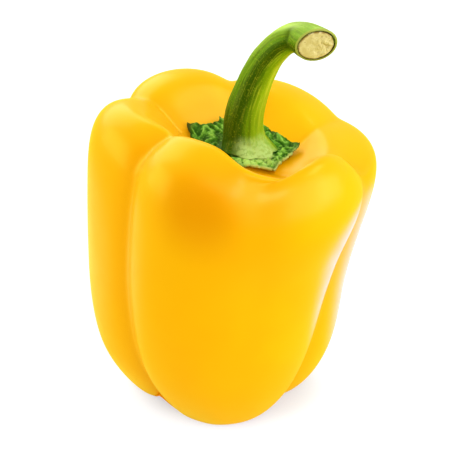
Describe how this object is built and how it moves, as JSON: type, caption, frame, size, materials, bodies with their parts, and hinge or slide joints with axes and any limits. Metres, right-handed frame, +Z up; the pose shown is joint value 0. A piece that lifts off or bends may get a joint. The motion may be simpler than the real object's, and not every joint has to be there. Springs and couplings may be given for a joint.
{
  "type": "bell pepper",
  "caption": "Whole yellow bell pepper standing on its lobed foot, with a puckered green calyx in its dimple and a long ribbed stem bent over to a pale cut end.",
  "frame": {"origin": "on the surface the pepper stands on, under the middle of the fruit's outline", "axes": "+Z up along the standing fruit, +X to the right and -Y towards the viewer of the picture"},
  "size_m": [0.0844, 0.0752, 0.1296],
  "materials": {
    "fruit_skin": "smooth waxy skin, glossy, warm yellow turning orange deep in the grooves",
    "calyx_leaf": "puckered leaf, satin, mid green with paler veins and edges",
    "stem_skin": "ribbed stalk, satin, dark green to yellow green with fine long lines",
    "stem_pith": "dry fibrous cut, matt, pale cream with brown flecks"
  },
  "bodies": {
    "root": {"fruit": "fruit_skin", "calyx": "calyx_leaf", "stem": "stem_skin", "cut_end": "stem_pith"}
  },
  "joints": []
}
